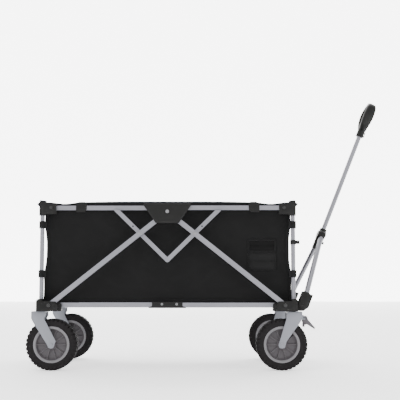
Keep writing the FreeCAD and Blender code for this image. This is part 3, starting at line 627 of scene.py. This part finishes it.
# a padded floor board, crowned on top between its sewn channels
def makeBoard(name, node, body):
    low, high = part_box(node)
    length, width = high[0] - low[0], high[1] - low[1]
    bm = bmesh.new()
    bmesh.ops.create_cube(bm, size=1)
    bmesh.ops.scale(bm, vec=(length, width, board["thick"]), verts=bm.verts)
    bevelAll(bm, board["edge"], 4, 50)
    longEdges = [edge for edge in bm.edges if edge.calc_length() > 0.1]
    bmesh.ops.subdivide_edges(bm, edges=longEdges, cuts=board["cuts"], use_grid_fill=True)
    centre = middle(node)
    for vert in bm.verts:
        u, v = vert.co.x / length * 2, vert.co.y / width * 2
        crown = max(0, 1 - u ** 4) * max(0, 1 - v ** 4)
        seam = sum(math.exp(-((vert.co.y - line) / 0.003) ** 2) for line in board["seams"])
        if vert.co.z > 0:
            vert.co.z += board["crown"] * crown - board["channel"] * seam * crown
        vert.co.z += 0.0005 * noise.noise(vert.co * 18)
    bmesh.ops.translate(bm, vec=(centre[0], centre[1], centre[2] + 0.0006), verts=bm.verts)
    bmesh.ops.recalc_face_normals(bm, faces=bm.faces)
    item = piece(name, bm, "floor_board", body, [node])


# one half of the floor cloth, which lifts with its board
def makeFloorCloth(end, body, replaced):
    bm = bmesh.new()
    bmesh.ops.create_grid(bm, x_segments=40, y_segments=36, size=0.5)
    length, half = panelEnd - 0.004, sideY - 0.006
    for vert in bm.verts:
        u, v = vert.co.x + 0.5, vert.co.y * 2
        x = end * (0.0006 + u * (length - 0.0006))
        sag = 0.0016 * (1 - v ** 4) * noise.noise(Vector((x * 9, v * 3, 2.0 + end)))
        vert.co = (midX + x, v * half, floorZ - 0.0004 + sag)
    bmesh.ops.recalc_face_normals(bm, faces=bm.faces)
    bmesh.ops.solidify(bm, geom=bm.faces, thickness=0.0018)
    bmesh.ops.recalc_face_normals(bm, faces=bm.faces)
    item = piece(f"{'front' if end > 0 else 'rear'}FloorCloth", bm, "black_fabric", body, replaced)


makeBoard("rearFloorBoard", "rear_floor_board", "rear_floor")
makeBoard("frontFloorBoard", "front_floor_board", "front_floor")
makeFloorCloth(-1, "rear_floor", ["floor_cloth"])
makeFloorCloth(1, "front_floor", ["floor_cloth"])
print("basket made")


pocket = {"fold": 0.062, "gap": 0.005, "pouchSwell": 0.0026, "netSwell": 0.0016, "binding": 0.006, "bend": 8}


# a cloth pouch under a net flap, bound on every edge
def makePocket():
    low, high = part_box("side_pocket")
    face = low[1]
    left, right = low[0], high[0]
    foldZ = low[2] + pocket["fold"]
    for name, bottom, top, finish, swell in (
            ("pocketPouch", low[2], foldZ, "pouch_fabric", pocket["pouchSwell"]),
            ("pocketNet", foldZ + pocket["gap"], high[2], "net", pocket["netSwell"])):
        bm = bmesh.new()
        bmesh.ops.create_grid(bm, x_segments=36, y_segments=24, size=0.5)
        for vert in bm.verts:
            u, v = vert.co.x * 2, vert.co.y * 2
            swellHere = swell * (1 - u ** 4) * (1 - v ** 4)
            vert.co = ((left + right) / 2 + u * (right - left) / 2 * 0.985, face + 0.0012 - swellHere,
                       (bottom + top) / 2 + v * (top - bottom) / 2)
        bmesh.ops.solidify(bm, geom=bm.faces, thickness=0.0011)
        bmesh.ops.recalc_face_normals(bm, faces=bm.faces)
        squashSide(piece(name, bm, finish, "rear_frame", ["side_pocket"] if name == "pocketPouch" else []))
        corners = [(left, bottom), (right, bottom), (right, top), (left, top), (left, bottom)]
        for index, (start, end) in enumerate(zip(corners, corners[1:])):
            line = []
            for step in range(pocket["bend"] + 1):
                x, z = [a + (b - a) * step / pocket["bend"] for a, b in zip(start, end)]
                line.append((x, face + 0.0006, z))
            band = makeHem(line, pocket["binding"], basket["hemThick"], (0, -1, 0))
            stitchRow(band, shifted(line, 0, 0, -0.0016), (0, -1, 0))
            squashSide(piece(f"{name}Binding{index}", band, "binding", "rear_frame"))


strap = {"heights": ((0.343, 0.370), (0.527, 0.554)), "radius": 0.0112, "thick": 0.0016, "soft": 0.001,
         "tail": ((0.0112, 0.006), (0.0125, 0.0155)), "turn": 20, "stops": range(-1, 17)}


# webbing that loops round a post and is sewn to the basket's corner
def makeStraps(end, sign):
    bm = bmesh.new()
    body = "front_frame" if end > 0 else "rear_frame"
    angles = [math.radians(170 - strap["turn"] * stop) for stop in strap["stops"]]
    track = [(end * math.cos(angle) * strap["radius"], -math.sin(angle) * strap["radius"])
             for angle in angles]
    track += [(-end * across, deep) for across, deep in strap["tail"]]
    for low, high in strap["heights"]:
        under = [(-1, low + strap["soft"]), (-0.4, low), (0.4, low), (1, low + strap["soft"])]
        section = under + [(-out, high - (height - low)) for out, height in under]
        rings = []
        for index, (x, y) in enumerate(track):
            before, after = track[max(0, index - 1)], track[min(len(track) - 1, index + 1)]
            along = Vector((after[0] - before[0], after[1] - before[1], 0)).normalized()
            outward = Vector((along.y, -along.x, 0)) * (strap["thick"] / 2)
            ring = [bm.verts.new(Vector((x, y, 0)) + outward * out + Vector((0, 0, height)))
                    for out, height in section]
            rings.append([bm.edges.new((ring[i], ring[(i + 1) % len(ring)])) for i in range(len(ring))])
        for first, second in zip(rings, rings[1:]):
            bmesh.ops.bridge_loops(bm, edges=first + second)
    bmesh.ops.holes_fill(bm, edges=bm.edges, sides=10)
    bmesh.ops.recalc_face_normals(bm, faces=bm.faces)
    bmesh.ops.translate(bm, vec=(midX + end * postX, -postY, 0), verts=bm.verts)
    if sign > 0:
        mirrorY(bm)
    endName, sideName = ("front" if end > 0 else "rear"), ("Left" if sign > 0 else "Right")
    piece(f"{endName}{sideName}Straps", bm, "binding", body, [f"{endName}_straps"])


makePocket()
for end in (-1, 1):
    for sign in (-1, 1):
        makeStraps(end, sign)
print("pocket and straps made")


cover = {"inner": 0.266, "outer": 0.2705, "inset": 0.006, "crown": 0.0018, "boltY": -0.2712, "boltZ": 0.588}
coverRight = [(0.043, 0.545), (0.0885, 0.611), (0.086, 0.620)]  # half of the cover plate's outline


# a whole outline from its half on one side, starting at the mirror image of its first point
def mirrored(half):
    return [(-half[0][0], half[0][1])] + half + [(-across, up) for across, up in half[:0:-1]]


# plate over the centre bolt, with a raised middle
def makeCover(sign):
    outline = mirrored(coverRight)
    bm = bmesh.new()
    addSlab(bm, outline, -cover["inner"], -cover["outer"])
    flipOut(bm)
    front = [face for face in bm.faces if face.normal.y < -0.9]
    bmesh.ops.inset_region(bm, faces=front, thickness=cover["inset"], depth=cover["crown"])
    bevelAll(bm, 0.0008, 3, 12)
    bmesh.ops.translate(bm, vec=(midX, 0, 0), verts=bm.verts)
    if sign > 0:
        mirrorY(bm)
    side = "left" if sign > 0 else "right"
    piece(f"{side}CoverPlate", bm, "black_plastic", "cover_plates", ["cover_plates"])


# domed head with a round recess, facing -Y
def boltHead(bm, x, y, z, radius, depth):
    profile = [(0.0001, 0), (radius, 0), (radius, -depth * 0.45), (radius * 0.86, -depth * 0.85),
               (radius * 0.55, -depth), (radius * 0.5, -depth), (radius * 0.42, -depth * 0.45),
               (0.0001, -depth * 0.45)]
    head = spun(profile, 30, (midX + x, y, z))
    mesh = bpy.data.meshes.new("head")
    head.to_mesh(mesh)
    head.free()
    bm.from_mesh(mesh)
    bpy.data.meshes.remove(mesh)


for sign in (-1, 1):
    makeCover(sign)
    bm = bmesh.new()
    boltHead(bm, 0, cover["boltY"], cover["boltZ"], 0.0066, 0.0045)
    if sign > 0:
        mirrorY(bm)
    piece(f"{'left' if sign > 0 else 'right'}PeakBoltHead", bm, "bright_bolt", "rear_struts")


# castings and clips whose sharp CAD edges get a mould radius
castings = {"rear_upper_brackets": 0.0009, "front_upper_brackets": 0.0009, "rear_lower_brackets": 0.0009,
            "front_lower_brackets": 0.0009, "handle_sockets": 0.0009, "rear_knee_clips": 0.0005,
            "front_knee_clips": 0.0005, "handle_catch": 0.0012}


def bodyOf(node):
    return [body for body, members in frame["record"]["behaviour"]["bodies"].items() if node in members][0]


for name, radius in castings.items():
    bm = bmesh.new()
    bm.from_mesh(nodes[name].data)
    bmesh.ops.remove_doubles(bm, verts=bm.verts, dist=1e-6)
    bmesh.ops.dissolve_limit(bm, angle_limit=math.radians(0.5), verts=bm.verts, edges=bm.edges)
    bevelAll(bm, radius, 2, 55)
    bmesh.ops.recalc_face_normals(bm, faces=bm.faces)
    piece("".join(word.title() for word in name.split("_")), bm, "black_plastic", bodyOf(name), [name])
print("castings rounded")


# rivets of the rails and of the floor hinge, and the snap buttons under the upper corners
railRivet = {"spots": (0.196, 0.282), "radius": 0.0034, "height": 0.0007, "z": 0.6045}
railLane = {"rear": 0.2295, "front": 0.238}  # outer faces of the inner rails
hingeRivet = {"spots": (-0.020, 0.035), "radius": 0.0044, "height": 0.00065, "y": -0.2403, "z": 0.244}
snapButton = {"radius": 0.0026, "height": 0.0016, "out": 0.0079, "z": 0.5645}


# bolt heads of one size at several places, on one side of the wagon
def makeHeads(name, places, size, sign, finish, body):
    bm = bmesh.new()
    for place in places:
        boltHead(bm, *place, size["radius"], size["height"])
    if sign > 0:
        mirrorY(bm)
    piece(name, bm, finish, body)


for sign, side in ((-1, "right"), (1, "left")):
    for end, body in ((-1, "rear"), (1, "front")):
        heads = [(end * spot, -railLane[body], railRivet["z"]) for spot in railRivet["spots"]]
        makeHeads(f"{side}{body.title()}RailRivets", heads, railRivet, sign, "silver_tube",
                  f"{body}_inner_rails")
        heads = [(end * postX, -postY - snapButton["out"], snapButton["z"])]
        makeHeads(f"{side}{body.title()}SnapButton", heads, snapButton, sign, "zinc_fastener",
                  f"{body}_frame")
    heads = [(spot, hingeRivet["y"], hingeRivet["z"]) for spot in hingeRivet["spots"]]
    makeHeads(f"{side}HingeRivets", heads, hingeRivet, sign, "zinc_fastener", "front_floor")
print("fittings made")


handle = {"tilt": math.radians(21.7), "pivot": (0.504, 0.243), "tube": 0.0098, "apex": 0.020, "top": 0.276,
          "bend": 0.017, "foot": 0.030, "knee": 0.050, "past": 0.024}
sleeve = {"back": -0.0168, "front": 0.0238, "half": 0.0213, "slot": 0.0175, "low": 0.0202, "high": 0.0458,
          "tongue": 0.0108, "tongueTop": 0.024, "eye": 0.0124, "mouth": 0.0122}
# from the handle's own frame, upright over its pivot, to the row frame
pivotPlace = Matrix.Translation((midX + handle["pivot"][0], 0, handle["pivot"][1]))
lean = pivotPlace @ Matrix.Rotation(handle["tilt"], 4, "Y")


# round tube along points
def sweepTube(bm, points, radius, sides=20):
    rings = []
    for index, point in enumerate(points):
        before, after = points[max(0, index - 1)], points[min(len(points) - 1, index + 1)]
        along = (Vector(after) - Vector(before)).normalized()
        turn = Vector((0, 0, 1)).rotation_difference(along).to_matrix().to_4x4()
        made = bmesh.ops.create_circle(bm, segments=sides, radius=radius,
                                       matrix=Matrix.Translation(point) @ turn)
        rings.append(list({edge for vert in made["verts"] for edge in vert.link_edges}))
    for first, second in zip(rings, rings[1:]):
        bmesh.ops.bridge_loops(bm, edges=first + second)
    bmesh.ops.holes_fill(bm, edges=bm.edges, sides=sides + 2)
    bmesh.ops.recalc_face_normals(bm, faces=bm.faces)


# straight runs joined by smooth bends
def easedPath(corners, reach, count=10):
    path = [Vector(corners[0])]
    for before, corner, after in zip(corners, corners[1:], corners[2:]):
        before, corner, after = Vector(before), Vector(corner), Vector(after)
        start = corner + (before - corner).normalized() * reach
        end = corner + (after - corner).normalized() * reach
        for step in range(count + 1):
            t = step / count
            path.append(start.lerp(corner, t).lerp(corner.lerp(end, t), t))
    path.append(Vector(corners[-1]))
    return path


# box between two corners
def addBlock(bm, low, high):
    addBox(bm, [b - a for a, b in zip(low, high)], [(a + b) / 2 for a, b in zip(low, high)])


# moulded foot of a yoke tube, with the tongue and eye that turn in the lug
def makeSleeve(side, sign):
    bm = bmesh.new()
    outline = [(sleeve["back"], sleeve["high"]), (sleeve["front"], sleeve["high"]), (sleeve["front"], -0.003),
               (0.0165, -0.0138), (-0.0105, -0.0138), (sleeve["back"], -0.004)]
    for low, high in ((-sleeve["half"], -sleeve["slot"]), (sleeve["slot"], sleeve["half"])):
        addSlab(bm, outline, low, high)
    bmesh.ops.recalc_face_normals(bm, faces=bm.faces)
    addBlock(bm, (sleeve["back"], -sleeve["slot"] - 0.001, sleeve["low"]),
             (sleeve["front"], sleeve["slot"] + 0.001, sleeve["high"]))
    bevelAll(bm, 0.0017, 3, 40)
    tongue = sleeve["tongue"]
    addBlock(bm, (-tongue, -tongue, 0.0), (tongue, tongue, sleeve["tongueTop"]))
    addRod(bm, (0, 0, 0), sleeve["eye"], 0.020, (0, 1, 0), 36)
    addRod(bm, (0, 0, sleeve["high"] + 0.0012), sleeve["mouth"], 0.0034, (0, 0, 1), 36)
    bmesh.ops.translate(bm, vec=(0, sign * postY, 0), verts=bm.verts)
    bmesh.ops.transform(bm, matrix=lean, verts=bm.verts)
    piece(f"{side}YokeSleeve", bm, "black_plastic", "handle", ["handle_sleeves"])


for sign in (-1, 1):
    side = "left" if sign > 0 else "right"
    bm = bmesh.new()
    foot, apex, top = sign * postY, sign * handle["apex"], handle["top"]
    corners = [(0, foot, handle["foot"]), (0, foot, handle["knee"]), (0, apex, top),
               (0, apex, top + handle["past"])]
    sweepTube(bm, easedPath(corners, handle["bend"]), handle["tube"])
    bmesh.ops.transform(bm, matrix=lean, verts=bm.verts)
    piece(f"{side}YokeTube", bm, "silver_tube", "handle", ["handle_yoke"])
    makeSleeve(side, sign)


collar = {"back": -0.0168, "front": 0.0138, "screws": ((-0.024, 0.292), (0.024, 0.292), (0, 0.243))}
collarLeft = [(0.0145, 0.229), (0.0145, 0.270), (0.0325, 0.283), (0.0325, 0.299), (0.020, 0.307)]


# T-shaped collar that holds the yoke's tops and the pole, with a neck and three screws
def makeCollar():
    bm = bmesh.new()
    outline = mirrored(collarLeft)
    verts = [bm.verts.new((collar["back"], y, z)) for y, z in outline]
    grown = bmesh.ops.extrude_face_region(bm, geom=[bm.faces.new(verts)])
    bmesh.ops.translate(bm, vec=(collar["front"] - collar["back"], 0, 0),
                        verts=[vert for vert in grown["geom"] if isinstance(vert, bmesh.types.BMVert)])
    flipOut(bm)
    bevelAll(bm, 0.004, 4, 40)
    addRod(bm, (0, 0, 0.3105), 0.0138, 0.013, (0, 0, 1))
    for across, height in collar["screws"]:
        addRod(bm, (collar["front"] + 0.0002, across, height), 0.0042, 0.002, (1, 0, 0), 20)
    bmesh.ops.transform(bm, matrix=lean, verts=bm.verts)
    piece("apexCollar", bm, "black_plastic", "handle", ["handle_collar"])


grip = {"low": 0.722, "high": 0.870, "wide": 0.047, "thick": 0.0105, "deep": 0.0205, "bend": 0.019,
        "sides": 20, "square": 0.8, "fins": (0.004, 0.016), "fin": (0.011, 0.004, 0.007)}
gripNeck = [(0.0092, 0.0), (0.0145, 0.0), (0.0152, -0.003), (0.0142, -0.022), (0.0185, -0.040),
            (0.0001, -0.046), (0.0001, -0.004)]  # radius and depth below the grip's foot


# loop grip: an oval bar round a D-shaped opening, deepest in the middle of its height
def makeGrip():
    bm = bmesh.new()
    low, high, wide, thick, sides = grip["low"], grip["high"], grip["wide"], grip["thick"], grip["sides"]
    corners = [(0, 0.0, low + 0.030), (0, 0.030, low + 0.046), (0, wide, low + 0.085),
               (0, wide, high - 0.014 - thick), (0, 0.0, high - thick)]
    half = easedPath(corners, grip["bend"], 8)
    path = half + [Vector((0, -point.y, point.z)) for point in reversed(half[1:-1])]
    rings = []
    for index, point in enumerate(path):
        along = (path[(index + 1) % len(path)] - path[index - 1]).normalized()
        out = Vector((0, along.z, -along.y))
        level = (point.z - low) / (high - low)
        bulk = math.sin(math.pi * min(1, max(0, (level - 0.08) / 1.02))) ** 1.2
        deep = grip["deep"] * (0.58 + 0.42 * bulk)
        ring = []
        for spot in range(sides):
            angle = math.tau * spot / sides
            forward, outward = [math.copysign(abs(share) ** grip["square"], share)
                                for share in (math.cos(angle), math.sin(angle))]
            ring.append(bm.verts.new(point + Vector((forward * deep, 0, 0)) + out * (outward * thick)))
        rings.append([bm.edges.new((ring[i], ring[(i + 1) % sides])) for i in range(sides)])
    for index in range(len(rings)):
        bmesh.ops.bridge_loops(bm, edges=rings[index] + rings[(index + 1) % len(rings)])
    bmesh.ops.recalc_face_normals(bm, faces=bm.faces)
    neck = spun(gripNeck, 36, (0, 0, 0))
    upright = Matrix.Rotation(math.radians(-90), 3, "X")
    bmesh.ops.rotate(neck, cent=(0, 0, 0), matrix=upright, verts=neck.verts)
    bmesh.ops.translate(neck, vec=(0, 0, low), verts=neck.verts)
    for base in grip["fins"]:
        addBox(neck, grip["fin"], (0.0135, 0, low + base + grip["fin"][2] / 2))
    bmesh.ops.transform(bm, matrix=lean, verts=bm.verts)
    bmesh.ops.transform(neck, matrix=lean, verts=neck.verts)
    piece("gripLoop", bm, "black_plastic", "pole", ["handle_grip"])
    piece("gripNeck", neck, "black_plastic", "pole")


makeCollar()
makeGrip()
print("handle made")
